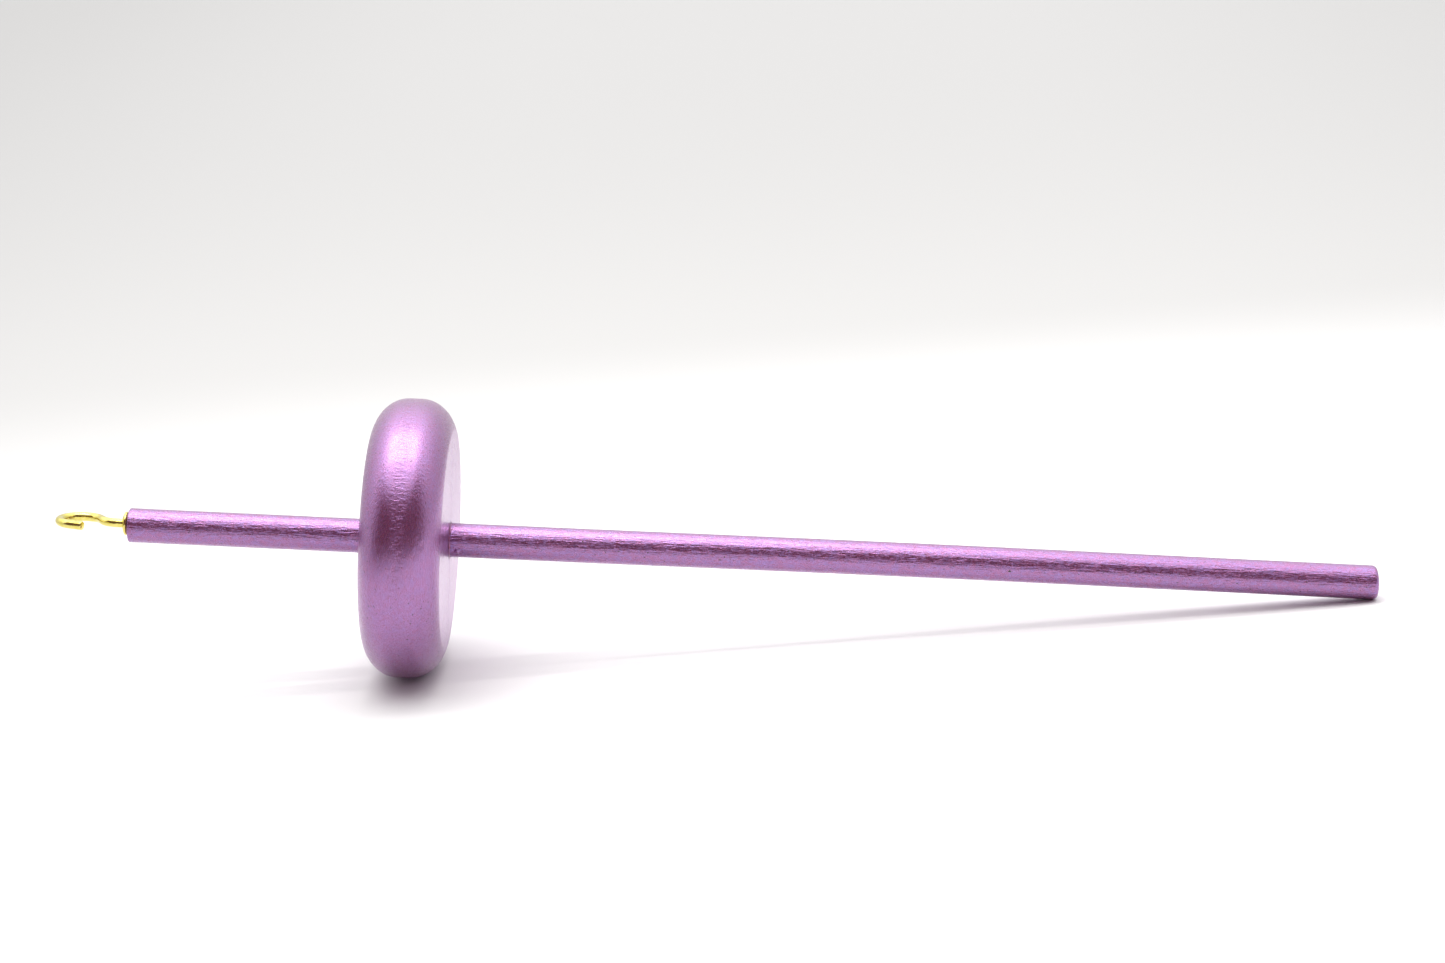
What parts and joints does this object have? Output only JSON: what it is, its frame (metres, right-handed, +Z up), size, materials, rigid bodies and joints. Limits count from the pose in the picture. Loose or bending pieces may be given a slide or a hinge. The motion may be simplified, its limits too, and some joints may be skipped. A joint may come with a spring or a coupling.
{
  "type": "drop spindle",
  "caption": "Low-tech hand spindle lying on a table: straight round shaft, thick disc whorl with a bullnose rim near one end, and a wire cup hook in that end.",
  "frame": {"origin": "On the table plane, under the middle of the part's box, with the spindle lying on its whorl rim and its plain end", "axes": "+Z up; the shaft's axis lies in the XZ plane, with the hook end raised towards -X and the plain end on the table towards +X"},
  "size_m": [0.315, 0.0668, 0.0668],
  "materials": {
    "painted_wood": "metallic purple paint over open wood grain",
    "painted_glue": "set wood glue, painted over with the spindle",
    "plated_brass": "bright polished plating"
  },
  "bodies": {
    "root": {"shaft": "painted_wood", "whorl": "painted_wood", "glue_line": "painted_glue", "cup_hook": "plated_brass", "hook_collar": "plated_brass"}
  },
  "joints": []
}
